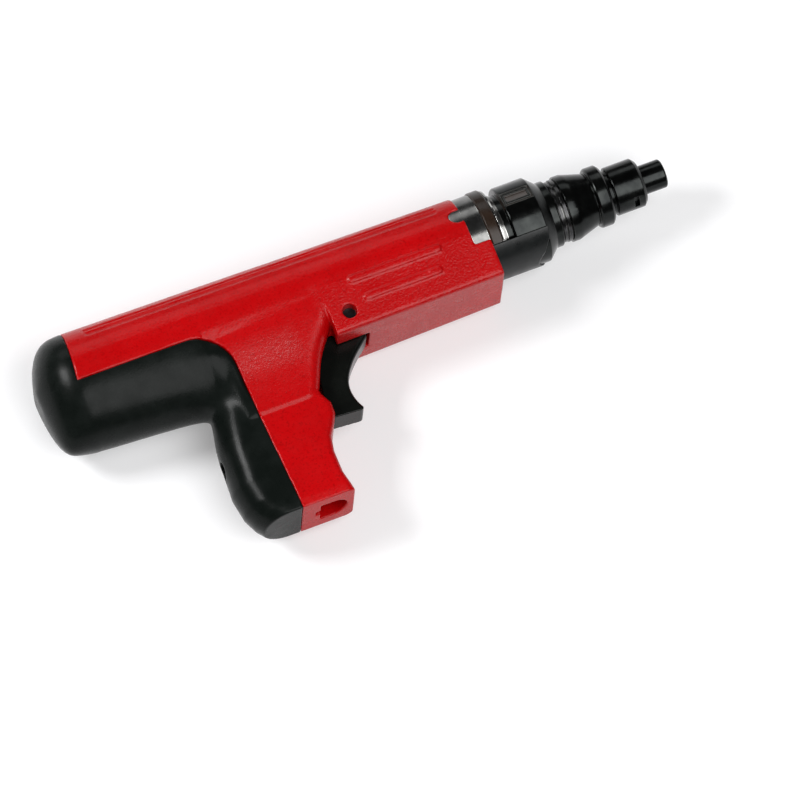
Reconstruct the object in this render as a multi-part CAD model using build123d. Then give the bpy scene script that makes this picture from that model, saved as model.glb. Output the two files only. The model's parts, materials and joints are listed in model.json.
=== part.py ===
from build123d import *
import math
import os

# Powder-actuated nail gun, single shot, piston driven. Millimetres.
#
# While it is being modelled, X runs along the barrel from the butt (0) to the muzzle, Y is the
# tool's own up (0 on the barrel's axis) and Z points to the tool's right-hand side. At the end every
# piece is moved, so that the tool lies on its left side with the origin at the bottom centre of its box.

# ---------------------------------------------------------------- driving dimensions
OVERALL_LENGTH = 345.0
HALF_WIDTH = 28.3
HANDLE_BOTTOM_Y = -108.5
RUN_FIT = 0.06                      # radial clearance of sliding and turning fits
SEAT_GAP = 0.2                      # small axial gap between neighbouring pieces

# housing: tapered tube, lower box, shoulder and handle
TUBE_REAR_X = 22.0
TUBE_FRONT_X = 235.5
TUBE_REAR_R = HALF_WIDTH
TUBE_FRONT_R = 24.7
TUBE_KNEE_X = 162.0                 # the taper is a little steeper behind this
TUBE_KNEE_R = 25.9
CORE_R = 21.0                       # what is left of the tube under the rubber
CORE_REAR_X = 12.0
BOX_REAR_X = 152.0
BOX_FRONT_X = 244.2
BOX_TOP_Y = -3.3
BOX_REAR_TOP_HALF = 26.05
BOX_FRONT_TOP_HALF = 24.5
BOX_REAR_BOTTOM = (-30.1, 22.7)     # height and half width of the lower edges at the rear
BOX_FRONT_BOTTOM = (-29.0, 20.8)
BOX_EDGE_R = 2.5
BOX_LIP_TOP_Y = -10.0               # the box runs on under the front bush below this height
HANDLE_HALF = 17.5

# details of the casting
GROOVE_LENGTH = 192.0
GROOVE_MIDDLE_X = 129.0
GROOVE_STRIPS = [(42.5, 1.9, 0.9), (51.5, 3.4, 0.7)]    # angle from the top, width, depth
RIB_ROWS = [(-5.5, 167.5, 218.5), (-16.3, 171.7, 214.7)]    # height, rear end, front end
RIB_WIDTH = 3.8
RIB_HEIGHT = 1.0
KEY_ANGLE = 70.5                    # of the key slots in the tube's front edge, from the top
KEY_SLOT_X = 228.6
KEY_SLOT_WIDTH = 8.0
KEY_GAP = 0.2                       # between a key and its slot, on each side
BOX_FLOOR_Y = (-26.0, -19.2)        # of the room between the tube and the bottom of the box
BOX_ROOM_HALF = 16.5

# rubber cover: where its edge runs on the red casting
COVER_FRONT_TOP_X = 25.3            # of the edge round the tube, which leans back towards the bottom
COVER_FRONT_LOW_X = 19.0
COVER_EDGE_Y = -6.3
COVER_EDGE_X = 98.4
COVER_EDGE_FOOT_X = 101.3
COVER_EDGE_R = 20.0
GRIP_SCREW_Y = -69.5
GRIP_SCREW_R = 2.4
GRIP_SCREW_HEAD_R = 4.3
GRIP_SCREW_HEAD_X = 78.6
GRIP_SCREW_SEAT_X = 82.0
GRIP_SCREW_TIP_X = 95.0
NECK_CORE_HALF = 9.0                # of the casting under the rubber at the back of the handle

# bores in the housing
BORE_R = 14.56                      # firing mechanism
BORE_REAR_X = 14.0
BREECH_REAR_X = 104.0
BREECH_CLIP_X = (102.6, 103.9)
BREECH_FACE_X = 131.0
GUIDE_R = 13.06                     # rear guide of the barrel
CHAMBER_REAR_X = 172.0              # room for the muzzle spring
CHAMBER_R = 17.5
WINDOW_X = 145.0
WINDOW_R = 10.0

# barrel group: slides forward to load, and back a little when the muzzle is pressed on the work
BARREL_REAR_X = 136.3
BARREL_REAR_R = GUIDE_R - RUN_FIT
BARREL_STEP_X = 222.0
BARREL_FRONT_R = 14.5
BARREL_FRONT_X = 289.0
PISTON_BORE_R = 8.0
PISTON_BORE_REAR_X = 154.0
CARTRIDGE_BORE_R = 3.6
LOAD_TRAVEL = 28.0
PRESS_TRAVEL = 5.0

# front bush and its rings, fixed to the housing
BUSH_REAR_X = 228.0
BUSH_FLANGE_R = 23.8
BUSH_FRONT_X = 252.3
BUSH_POCKET_X = 247.0
BUSH_POCKET_R = 20.3
BUSH_NOSE_R = 21.8
BUFFER_RING_X = (244.4, 250.6)
BUFFER_RING_R = 24.5
SNAP_RING_X = (250.9, 251.9)
SNAP_RING_R = 23.6
GUIDE_PIN_X = 240.0
GUARD_HALF_ANGLE = 57.0             # of the sector under the sleeve that the guard covers, in degrees
GUARD_R = (22.8, 23.4)
GUARD_FRONT_X = 276.0
GUARD_TONGUE_X = 232.0
GUARD_TONGUE_Y = (-25.9, -24.1)
GUARD_TONGUE_HALF = 12.0
RING_GAP_ANGLE = GUARD_HALF_ANGLE + 2    # of the gap in the rings above the guard

# sleeve, nose and nozzle
SLEEVE_REAR_X = 254.5
SLEEVE_SHOULDER_X = 257.5
SLEEVE_REAR_R = 19.2
SLEEVE_R = 22.5
SLEEVE_CHAMFER_X = 274.2
SLEEVE_NECK_X = 279.6
SLEEVE_NECK_R = 17.5
SLEEVE_FRONT_X = 283.6
PAD_ANGLE = 68.0                    # of the two framed pads, from the top
NOSE_REAR_X = 289.0
NOSE_RING_FRONT_X = 292.7
NOSE_CONE_R = 13.7
NOSE_BEAD_X = (305.0, 313.0)
NOSE_BEAD_R = 16.0
NOSE_NECK_R = 10.0
NOSE_FRONT_X = 316.0
NOSE_SLEEVE_X = (315.6, 332.0)
NOSE_SLEEVE_R = 12.9
NOZZLE_R = 7.6
NOZZLE_SEAT_R = 8.1                 # where it is inside the front sleeve
NOZZLE_BORE_R = 4.2
NOZZLE_FLANGE_FRONT_X = 320.0
NOZZLE_KEY_X = 325.6
NOZZLE_KEY_WIDTH = 7.0
NOZZLE_KEY_LENGTH = 2.6
NOZZLE_KEY_R = 10.4
NOZZLE_KEY_ANGLE = 70.0             # of the key, below the right-hand side
ROD_GUIDE_R = 5.0                   # the way through the nose for the piston's rod

# piston
PISTON_R = PISTON_BORE_R - RUN_FIT
PISTON_X = (155.0, 169.0)
PISTON_ROD_R = NOZZLE_BORE_R - 2 * RUN_FIT
PISTON_ROD_TIP_X = 270.0
NOSE_SPIGOT_X = 258.0
PISTON_BUFFER_X = 247.0
PISTON_RING_X = (158.0, 162.0)
PISTON_RING_WIDTH = 1.6
PISTON_RING_DEPTH = 1.2

# firing mechanism
FIRING_ROD_R = 5.0
FIRING_ROD_X = 20.0
COLLAR_X = (84.0, 94.5)
COLLAR_R = 8.7
STEM_X = (101.0, 121.0)
STEM_R = 6.0
TIP_R = 1.6
TIP_X = 130.6
STRIKE_TRAVEL = 5.0
PLUG_FRONT_X = 30.0
TRIGGER_PIN_AT = (162.4, -20.4)
TRIGGER_PIN_R = 2.6
TRIGGER_PIN_HEAD_R = 3.6
TRIGGER_PIN_HALF = 17.2             # half the length between its two heads
TRIGGER_BOSS_R = 4.8
TRIGGER_HALF = 8.2
TRIGGER_ROOM = 0.4                  # side clearance of trigger and sear in their slots
SPRING_ROOM_HALF = 2.9              # of the slot in the trigger for its spring
SEAR_PIN_AT = (118.0, -21.0)
SEAR_PIN_R = 2.0
SEAR_HALF = 4.0
SEAR_NOSE_X = (96.0, 102.0)
SEAR_FOOT_Y = -24.6
SEAR_SPRING_Y = -38.0


# ---------------------------------------------------------------- small helpers
def bar(x_low, x_high, radius):
    """A round bar along the barrel's axis."""
    return Pos((x_low + x_high) / 2, 0, 0) * Rot(0, 90, 0) * Cylinder(radius, x_high - x_low)


def ring(x_low, x_high, outer_r, inner_r):
    """A plain ring round the barrel's axis."""
    return bar(x_low, x_high, outer_r) - bar(x_low, x_high, inner_r)


def turned(outline):
    """A turned piece: the outline holds (x, radius) corners and is spun about the barrel's axis."""
    return revolve(make_face(Polyline(*outline, close=True)), Axis.X)


def plate(outline, half_width):
    """A flat outline in the side view, as thick as half_width to each side of the middle plane."""
    return extrude(make_face(Polyline(*outline, close=True)), half_width, both=True)


def cross_pin(at, radius, half_length):
    """A round pin across the tool."""
    return Pos(at[0], at[1], 0) * Cylinder(radius, 2 * half_length)


def upright_pin(x, y_low, y_high, radius):
    """A round pin that stands along the tool's height."""
    return Pos(x, (y_low + y_high) / 2, 0) * Rot(90, 0, 0) * Cylinder(radius, y_high - y_low)


def block(x_range, y_range, z_range):
    """A plain block between the given limits."""
    size = [high - low for low, high in (x_range, y_range, z_range)]
    middle = [(high + low) / 2 for low, high in (x_range, y_range, z_range)]
    return Pos(*middle) * Box(*size)


def coil_spring(length, coil_r, wire_r, turns):
    """A compression spring along +Z from 0, its wire inside the stated length."""
    rise = length - 2 * wire_r
    path = Helix(pitch=rise / turns, height=rise, radius=coil_r)
    section = Plane(origin=path @ 0, z_dir=path % 0) * Circle(wire_r)
    return Pos(0, 0, wire_r) * sweep(section, path=path, is_frenet=True)


def tapered_bar():
    """The tapered tube as a solid bar, with the seam of its round face at the bottom."""
    cone = turned(
        [
            (TUBE_REAR_X, 0),
            (TUBE_REAR_X, TUBE_REAR_R),
            (TUBE_KNEE_X, TUBE_KNEE_R),
            (TUBE_FRONT_X, TUBE_FRONT_R),
            (TUBE_FRONT_X, 0),
        ]
    )
    return Rot(180, 0, 0) * cone


def lower_sector(half_angle):
    """Everything under the barrel's axis within half_angle degrees of straight down."""
    reach = 60.0
    y = -reach * math.cos(math.radians(half_angle))
    z = reach * math.sin(math.radians(half_angle))
    wedge = Plane.YZ * make_face(Polyline((0, 0), (y, z), (-reach, 0), (y, -z), close=True))
    return extrude(wedge, OVERALL_LENGTH)


def both_sides(piece):
    """The piece and its mirror image on the other side of the tool."""
    return piece + mirror(piece, Plane.XY)


# ---------------------------------------------------------------- outer form of housing and cover
def box_section(x, top_half, bottom):
    """One cross-section of the box under the front of the tube."""
    bottom_y, bottom_half = bottom
    corners = [
        (BOX_TOP_Y, -top_half),
        (BOX_TOP_Y, top_half),
        (bottom_y, bottom_half),
        (bottom_y, -bottom_half),
    ]
    return Plane.YZ.offset(x) * make_face(Polyline(*corners, close=True))


def box_form():
    """The box under the front of the tube, narrower at its front and at its bottom."""
    rear = box_section(BOX_REAR_X, BOX_REAR_TOP_HALF, BOX_REAR_BOTTOM)
    front = box_section(BOX_FRONT_X, BOX_FRONT_TOP_HALF, BOX_FRONT_BOTTOM)
    form = loft([rear, front], ruled=True)
    long_edges = form.edges().filter_by(lambda edge: edge.length > 2 * BOX_REAR_TOP_HALF)
    form = fillet(long_edges.sort_by(Axis.Y)[:2], BOX_EDGE_R)
    above_lip = block((TUBE_FRONT_X, BOX_FRONT_X + 1), (BOX_LIP_TOP_Y, BOX_TOP_Y + 1), (-30, 30))
    return form - above_lip


def shoulder_section(y, rear_x, front_x, half_width, corner_r):
    """One level section of the shoulder between tube and handle."""
    plane = Plane(origin=((rear_x + front_x) / 2, y, 0), x_dir=(1, 0, 0), z_dir=(0, 1, 0))
    return plane * RectangleRounded(front_x - rear_x, 2 * half_width, corner_r)


def shoulder_form():
    """The full, softly swelling shoulder that carries the handle; its foot is the ledge above it."""
    sections = [
        shoulder_section(-6.0, 84.0, 158.0, 25.4, 8.0),
        shoulder_section(-20.0, 87.0, 153.0, 23.6, 8.0),
        shoulder_section(-34.0, 89.0, 142.0, 21.0, 7.0),
        shoulder_section(-44.0, 89.5, 136.8, 19.4, 6.5),
        shoulder_section(-54.0, 90.0, 131.5, 18.3, 6.0),
    ]
    return loft(sections)


def handle_section(y, back_x, front_x, half_width):
    """One level section of the handle: round at the back, with softened corners at the front."""
    front_r = 4.0
    back_depth = 15.0
    round_x = back_x + back_depth
    side_x = front_x - front_r
    lift = front_r * (1 - math.sqrt(0.5))
    side_z = half_width - front_r
    corner = (front_x - lift, half_width - lift)
    edges = [
        Line((round_x, half_width), (side_x, half_width)),
        ThreePointArc((side_x, half_width), corner, (front_x, side_z)),
        Line((front_x, side_z), (front_x, -side_z)),
        ThreePointArc((front_x, -side_z), (corner[0], -corner[1]), (side_x, -half_width)),
        Line((side_x, -half_width), (round_x, -half_width)),
        EllipticalCenterArc((round_x, 0), back_depth, half_width, 90, arc_size=180),
    ]
    level = Plane(origin=(0, y, 0), x_dir=(1, 0, 0), z_dir=(0, -1, 0))
    return level * make_face(edges)


def handle_form():
    """The handle, from inside the tube down to its toe."""
    levels = [
        (-14.0, 84.0, 134.0, HANDLE_HALF),
        (-34.0, 80.0, 133.0, HANDLE_HALF),
        (-48.0, 76.8, 132.5, HANDLE_HALF),
        (-54.0, 75.5, 133.4, HANDLE_HALF),
        (-60.0, 74.3, 136.3, HANDLE_HALF),
        (-66.0, 73.5, 136.0, HANDLE_HALF),
        (-71.0, 73.1, 133.4, HANDLE_HALF),
        (-77.0, 72.8, 129.4, HANDLE_HALF),
        (-85.0, 72.0, 127.6, HANDLE_HALF),
        (-97.0, 73.6, 127.4, HANDLE_HALF),
        (-104.0, 76.6, 128.8, HANDLE_HALF),
        (HANDLE_BOTTOM_Y, 80.0, 129.6, HANDLE_HALF - 0.6),
    ]
    return loft([handle_section(*level) for level in levels], ruled=True)


def butt_section(x, half_width, top_y, depth):
    """One cross-section of the butt: half an ellipse above the axis and a deeper one below."""
    edges = [
        EllipticalCenterArc((0, 0), top_y, half_width, -90, arc_size=180),
        EllipticalCenterArc((0, 0), depth, half_width, 90, arc_size=180),
    ]
    return Plane.YZ.offset(x) * make_face(edges)


def butt_form():
    """The rounded butt and the deep underside that runs down into the back of the handle."""
    rear_cap = [
        (0.0, 7.5, 3.5, 13.0),
        (1.0, 11.0, 7.2, 21.0),
        (3.5, 16.5, 14.9, 29.2),
        (8.0, 22.4, 22.8, 33.2),
        (14.0, 26.5, 27.3, 34.4),
        (18.0, 27.8, 28.1, 35.0),
        (TUBE_REAR_X, HALF_WIDTH, HALF_WIDTH, 35.2),
    ]
    underside = [
        (TUBE_REAR_X, HALF_WIDTH, HALF_WIDTH, 35.2),
        (46.0, 27.9, 27.9, 37.0),
        (70.0, 27.5, 27.5, 39.2),
        (86.0, 27.2, 27.2, 42.0),
    ]
    form = loft([butt_section(*row) for row in rear_cap]) + loft([butt_section(*row) for row in underside])
    above = block((TUBE_REAR_X, 90), (0, 31), (-31, 31))
    return form - above


def cover_zone():
    """The region of the outer form that is rubber."""
    top = 40.0
    foot = -120.0
    arc_start = (COVER_EDGE_X - COVER_EDGE_R, COVER_EDGE_Y)
    arc_end = (COVER_EDGE_X, COVER_EDGE_Y - COVER_EDGE_R)
    edges = [
        Line((-5, top), (COVER_FRONT_TOP_X, top)),
        Line((COVER_FRONT_TOP_X, top), (COVER_FRONT_LOW_X, COVER_EDGE_Y)),
        Line((COVER_FRONT_LOW_X, COVER_EDGE_Y), arc_start),
        RadiusArc(arc_start, arc_end, COVER_EDGE_R),
        Line(arc_end, (COVER_EDGE_FOOT_X, foot)),
        Line((COVER_EDGE_FOOT_X, foot), (-5, foot)),
        Line((-5, foot), (-5, top)),
    ]
    return extrude(make_face(edges), 40, both=True)


def covered_core():
    """The part of the casting that the rubber hides."""
    tube_core = bar(CORE_REAR_X, COVER_EDGE_X, CORE_R)
    front_x = COVER_EDGE_X + 4
    outline = [(90, -10), (front_x, -10), (front_x, -104), (89, -104), (82, -84), (82, -58), (88, -40)]
    return tube_core + plate(outline, NECK_CORE_HALF)


def body_form():
    """The whole outer form, before it is divided into casting and rubber."""
    return tapered_bar() + box_form() + shoulder_form() + handle_form() + butt_form()


# ---------------------------------------------------------------- details cut in or set on the casting
def tube_grooves():
    """Two long shallow strips with a thin ridge between them, high on each side of the tube."""
    cut_height = 3.0
    taper = (TUBE_REAR_R - TUBE_FRONT_R) / (TUBE_FRONT_X - TUBE_REAR_X)
    surface_r = TUBE_REAR_R - taper * (GROOVE_MIDDLE_X - TUBE_REAR_X)
    cuts = []
    for angle, width, depth in GROOVE_STRIPS:
        middle = (GROOVE_MIDDLE_X, surface_r - depth, 0)
        floor = Plane(origin=middle, x_dir=(1, -taper, 0), z_dir=(taper, 1, 0))
        strip = extrude(floor * SlotOverall(GROOVE_LENGTH, width), cut_height)
        cuts.append(Rot(angle, 0, 0) * strip)
    return both_sides(cuts[0] + cuts[1])


def side_plane(y):
    """A plane on the right-hand side of the box at height y, with its normal pointing outwards."""
    rear_bottom_y, rear_half = BOX_REAR_BOTTOM
    front_bottom_y, front_half = BOX_FRONT_BOTTOM
    rear_top = Vector(BOX_REAR_X, BOX_TOP_Y, BOX_REAR_TOP_HALF)
    along = Vector(BOX_FRONT_X, BOX_TOP_Y, BOX_FRONT_TOP_HALF) - rear_top
    middle_bottom = Vector(BOX_REAR_X, (rear_bottom_y + front_bottom_y) / 2, (rear_half + front_half) / 2)
    down = middle_bottom - Vector(BOX_REAR_X, BOX_TOP_Y, (BOX_REAR_TOP_HALF + BOX_FRONT_TOP_HALF) / 2)
    outwards = down.cross(along)
    origin = rear_top + down * ((y - BOX_TOP_Y) / down.Y) - along * (BOX_REAR_X / along.X)
    return Plane(origin=origin, x_dir=along, z_dir=outwards)


def box_ribs():
    """Two raised, round-ended ribs on each side of the box."""
    root = 2.0                      # how deep a rib reaches into the box's wall
    ribs = []
    for y, rear_x, front_x in RIB_ROWS:
        outline = Pos((rear_x + front_x) / 2, 0) * SlotOverall(front_x - rear_x, RIB_WIDTH)
        rib = side_plane(y) * extrude(outline, RIB_HEIGHT)
        top = rib.faces().sort_by(Axis.Z)[-1]
        rib = fillet(top.edges(), RIB_HEIGHT * 0.7)
        sunk = side_plane(y) * extrude(outline, -root)
        ribs.append(rib + sunk)
    return both_sides(ribs[0] + ribs[1])


def key_slots(width, rear_x, front_x, inner_r, outer_r):
    """Round-ended slots or keys on both sides of the tube's front edge, between two radii."""
    outline = Pos((rear_x + front_x + width) / 2, 0) * SlotOverall(front_x + width - rear_x, width)
    prism = Rot(KEY_ANGLE - 90, 0, 0) * extrude(outline, outer_r + 1)
    return both_sides(prism & ring(rear_x - 1, front_x, outer_r, inner_r))


def trigger_slot():
    """The slot that the trigger swings in, open at the bottom and at the front of the handle."""
    outline = [
        (128.0, -18.8),
        (156.5, -18.8),
        (157.0, -15.2),
        (168.2, -15.2),
        (169.5, -22.0),
        (171.0, -40.0),
        (145.0, -68.6),
        (124.0, -68.6),
        (124.0, -50.0),
    ]
    return plate(outline, TRIGGER_HALF + TRIGGER_ROOM)


def sear_slot():
    """The narrow slot for the sear, with its way up into the bore."""
    outline = [
        (91.5, 0.0),
        (103.4, 0.0),
        (103.4, -15.4),
        (130.0, -15.4),
        (130.0, -14.6),
        (143.0, -14.6),
        (143.0, -30.0),
        (91.5, -30.0),
    ]
    return plate(outline, SEAR_HALF + TRIGGER_ROOM)


def handle_pocket():
    """The D-shaped pocket in the handle's foot: straight at the back, round at the front."""
    rear_x = 111.0
    front_x = 125.5
    half_width = 8.5
    depth = 23.0
    edges = [
        Line((rear_x, -half_width), (front_x - half_width, -half_width)),
        ThreePointArc((front_x - half_width, -half_width), (front_x, 0), (front_x - half_width, half_width)),
        Line((front_x - half_width, half_width), (rear_x, half_width)),
        Line((rear_x, half_width), (rear_x, 2.0)),
        Line((rear_x, 2.0), (rear_x - 2.5, 2.0)),
        Line((rear_x - 2.5, 2.0), (rear_x - 2.5, -2.0)),
        Line((rear_x - 2.5, -2.0), (rear_x, -2.0)),
        Line((rear_x, -2.0), (rear_x, -half_width)),
    ]
    foot = Plane(origin=(0, HANDLE_BOTTOM_Y - 1, 0), x_dir=(1, 0, 0), z_dir=(0, 1, 0))
    return extrude(foot * make_face(edges), depth + 1)


def housing_room():
    """Everything hollow in the casting."""
    bores = bar(BORE_REAR_X, BREECH_FACE_X, BORE_R) + bar(BREECH_FACE_X, CHAMBER_REAR_X, GUIDE_R)
    bores += bar(CORE_REAR_X - 1, BORE_REAR_X, 6.0)
    bores += bar(CHAMBER_REAR_X, TUBE_FRONT_X + 1, CHAMBER_R)
    bores += bar(TUBE_FRONT_X, BOX_FRONT_X + 1, BUSH_FLANGE_R)
    bores += ring(BREECH_CLIP_X[0], BREECH_REAR_X, BORE_R + 0.9, BORE_R - 1)
    window = upright_pin(WINDOW_X, 0, 40, WINDOW_R)
    box_room = block((CHAMBER_REAR_X, BOX_FRONT_X + 1), BOX_FLOOR_Y, (-BOX_ROOM_HALF, BOX_ROOM_HALF))
    pin_hole = cross_pin(TRIGGER_PIN_AT, TRIGGER_PIN_R, 30)
    mouth = Cylinder(TRIGGER_PIN_HEAD_R + 0.1, 10.0, align=(Align.CENTER, Align.CENTER, Align.MIN))
    pin_mouths = both_sides(Pos(*TRIGGER_PIN_AT, TRIGGER_PIN_HALF) * mouth)
    sear_pin_hole = cross_pin(SEAR_PIN_AT, SEAR_PIN_R, 10.0)
    spring_pocket = upright_pin(SEAR_NOSE_X[1], SEAR_SPRING_Y, SEAR_FOOT_Y + 0.6, 3.2)
    guide_pin_room = upright_pin(GUIDE_PIN_X, -24.0, -18.0, 3.4)
    screw_hole = grip_screw_bar(76.0, GRIP_SCREW_TIP_X + 1, GRIP_SCREW_R)
    return [
        bores,
        window,
        box_room,
        pin_hole,
        pin_mouths,
        sear_pin_hole,
        spring_pocket,
        guide_pin_room,
        screw_hole,
        trigger_slot(),
        sear_slot(),
        handle_pocket(),
        key_slots(KEY_SLOT_WIDTH, KEY_SLOT_X, TUBE_FRONT_X + 1, CHAMBER_R - 1, TUBE_REAR_R + 1),
        tube_grooves(),
    ]


# ---------------------------------------------------------------- housing and cover
def housing():
    """The cast body: barrel tube, trigger box and handle in one piece."""
    casting = (body_form() - cover_zone()) + covered_core() + box_ribs()
    for room in housing_room():
        casting -= room
    return casting


def grip_cover():
    """The rubber moulding over the butt and the back of the handle."""
    rubber = (body_form() & cover_zone()) - covered_core()
    screw_well = grip_screw_bar(60.0, GRIP_SCREW_SEAT_X + 0.5, GRIP_SCREW_HEAD_R + 0.3)
    return rubber - screw_well


def grip_screw_bar(x_low, x_high, radius):
    """A round bar on the grip screw's axis."""
    return Pos(0, GRIP_SCREW_Y, 0) * bar(x_low, x_high, radius)


def grip_screw():
    """The screw in the back of the handle that holds the rubber on."""
    chamfer = 0.7
    socket_depth = 1.8
    head = turned(
        [
            (GRIP_SCREW_HEAD_X, 0),
            (GRIP_SCREW_HEAD_X, GRIP_SCREW_HEAD_R - chamfer),
            (GRIP_SCREW_HEAD_X + chamfer, GRIP_SCREW_HEAD_R),
            (GRIP_SCREW_SEAT_X, GRIP_SCREW_HEAD_R),
            (GRIP_SCREW_SEAT_X, 0),
        ]
    )
    hex_socket = Plane.YZ.offset(GRIP_SCREW_HEAD_X) * RegularPolygon(2.0, 6)
    head = Pos(0, GRIP_SCREW_Y, 0) * (head - extrude(hex_socket, socket_depth))
    return head + grip_screw_bar(GRIP_SCREW_SEAT_X, GRIP_SCREW_TIP_X, GRIP_SCREW_R)


# ---------------------------------------------------------------- firing mechanism
def butt_plug():
    """The plug that closes the rear of the bore and guides the firing pin's rod."""
    plug = bar(BORE_REAR_X, PLUG_FRONT_X, BORE_R)
    rod_hole = bar(FIRING_ROD_X - 2, PLUG_FRONT_X, FIRING_ROD_R + RUN_FIT)
    hex_socket = Plane.YZ.offset(BORE_REAR_X) * RegularPolygon(4.0, 6)
    return plug - rod_hole - extrude(hex_socket, 3.0)


def firing_pin():
    """Rod, collar, sloped sear face, stem and tip in one turned piece."""
    return turned(
        [
            (FIRING_ROD_X, 0),
            (FIRING_ROD_X, FIRING_ROD_R),
            (COLLAR_X[0], FIRING_ROD_R),
            (COLLAR_X[0], COLLAR_R),
            (COLLAR_X[1], COLLAR_R),
            (STEM_X[0], STEM_R),
            (STEM_X[1], STEM_R),
            (STEM_X[1], TIP_R),
            (TIP_X, TIP_R),
            (TIP_X, 0),
        ]
    )


def firing_pin_spring():
    """The strong spring between butt plug and collar."""
    length = COLLAR_X[0] - PLUG_FRONT_X - 2 * SEAT_GAP
    spring = coil_spring(length, 6.9, 1.1, 12)
    return Pos(PLUG_FRONT_X + SEAT_GAP, 0, 0) * Rot(0, 90, 0) * spring


def breech_block():
    """The steel block behind the cartridge, bored for the firing pin."""
    block_body = bar(BREECH_REAR_X, BREECH_FACE_X, BORE_R)
    stem_hole = bar(BREECH_REAR_X, STEM_X[1] + STRIKE_TRAVEL + 0.5, STEM_R + RUN_FIT)
    tip_hole = bar(STEM_X[1], BREECH_FACE_X, TIP_R + RUN_FIT)
    cone_room = bar(BREECH_REAR_X, BREECH_REAR_X + 3.0, COLLAR_R)
    return block_body - stem_hole - tip_hole - cone_room


def breech_ring():
    """The spring clip behind the breech block, open at the bottom to let the sear past."""
    low, high = BREECH_CLIP_X
    clip = ring(low + 0.1, high, BORE_R + 0.8, 11.6)
    return clip - block((low, high + 1), (-20, 0), (-6.0, 6.0))


def sear():
    """The rocker that holds the firing pin and is tipped by the trigger."""
    slope = (COLLAR_R - STEM_R) / (STEM_X[0] - COLLAR_X[1])
    nose_rear_y = -(STEM_R + (STEM_X[0] - SEAR_NOSE_X[0]) * slope) - SEAT_GAP
    outline = [
        (SEAR_NOSE_X[0], nose_rear_y),
        (STEM_X[0], -STEM_R - SEAT_GAP),
        (SEAR_NOSE_X[1], -STEM_R - SEAT_GAP),
        (SEAR_NOSE_X[1], -17.4),
        (122.0, -17.4),
        (139.0, -20.0),
        (140.5, -21.6),
        (140.5, -23.9),
        (122.0, SEAR_FOOT_Y),
        (98.0, SEAR_FOOT_Y),
        (SEAR_NOSE_X[0], -22.6),
    ]
    return plate(outline, SEAR_HALF) - cross_pin(SEAR_PIN_AT, SEAR_PIN_R + RUN_FIT, 10.0)


def sear_pin():
    """The pivot pin of the sear."""
    return cross_pin(SEAR_PIN_AT, SEAR_PIN_R, 9.5)


def sear_spring():
    """The small spring that holds the sear's nose up."""
    spring = coil_spring(13.0, 2.3, 0.4, 7)
    return Pos(SEAR_NOSE_X[1], SEAR_SPRING_Y + SEAT_GAP, 0) * Rot(-90, 0, 0) * spring


def trigger():
    """The finger piece, its boss on the pin and the tail that lifts the sear."""
    pin_x, pin_y = TRIGGER_PIN_AT
    finger_curve = [
        (168.2, -30.5),
        (160.0, -37.2),
        (153.4, -44.5),
        (150.0, -51.5),
        (149.9, -58.5),
        (152.0, -64.6),
    ]
    edges = [
        ThreePointArc((158.4, -17.8), (pin_x, pin_y + TRIGGER_BOSS_R), (167.1, -21.6)),
        Line((167.1, -21.6), (168.2, -30.5)),
        Spline(*finger_curve),
        ThreePointArc((152.0, -64.6), (151.8, -66.2), (150.2, -67.0)),
        Line((150.2, -67.0), (137.0, -66.0)),
        ThreePointArc((137.0, -66.0), (134.6, -64.8), (133.6, -62.4)),
        Line((133.6, -62.4), (138.6, -34.0)),
        Line((138.6, -34.0), (135.5, -29.0)),
        Line((135.5, -29.0), (135.5, -26.4)),
        Line((135.5, -26.4), (141.5, -24.2)),
        Line((141.5, -24.2), (152.0, -24.1)),
        Line((152.0, -24.1), (158.4, -17.8)),
    ]
    piece = extrude(make_face(edges), TRIGGER_HALF, both=True)
    finger_edges = piece.edges().filter_by(GeomType.BSPLINE)
    piece = fillet(finger_edges, 2.4)
    spring_room = block((150.0, 172.0), (-27.0, -10.0), (-SPRING_ROOM_HALF, SPRING_ROOM_HALF))
    return piece - cross_pin(TRIGGER_PIN_AT, TRIGGER_PIN_R + RUN_FIT, 12.0) - spring_room


def trigger_pin():
    """The headed pin that the trigger swings on."""
    head = Cylinder(TRIGGER_PIN_HEAD_R, 1.2, align=(Align.CENTER, Align.CENTER, Align.MIN))
    heads = both_sides(Pos(*TRIGGER_PIN_AT, TRIGGER_PIN_HALF) * head)
    return cross_pin(TRIGGER_PIN_AT, TRIGGER_PIN_R, TRIGGER_PIN_HALF) + heads


def trigger_spring():
    """The torsion spring on the trigger pin: a few turns, running out into two straight legs."""
    wire_r = 0.45
    coil_r = 3.5
    half_coil = 2.2
    turns = 4.25                    # so that the second leg leaves at the top of the coil
    leg_length = 5.0
    path = Helix(pitch=2 * half_coil / turns, height=2 * half_coil, radius=coil_r)
    coil = sweep(Plane(origin=path @ 0, z_dir=path % 0) * Circle(wire_r), path=path, is_frenet=True)
    leg = Cylinder(wire_r, leg_length, align=(Align.CENTER, Align.CENTER, Align.MIN))
    lower_leg = Plane(origin=path @ 0, z_dir=-(path % 0)) * leg
    upper_leg = Plane(origin=path @ 1, z_dir=path % 1) * leg
    return Pos(*TRIGGER_PIN_AT, -half_coil) * (coil + lower_leg + upper_leg)


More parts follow.
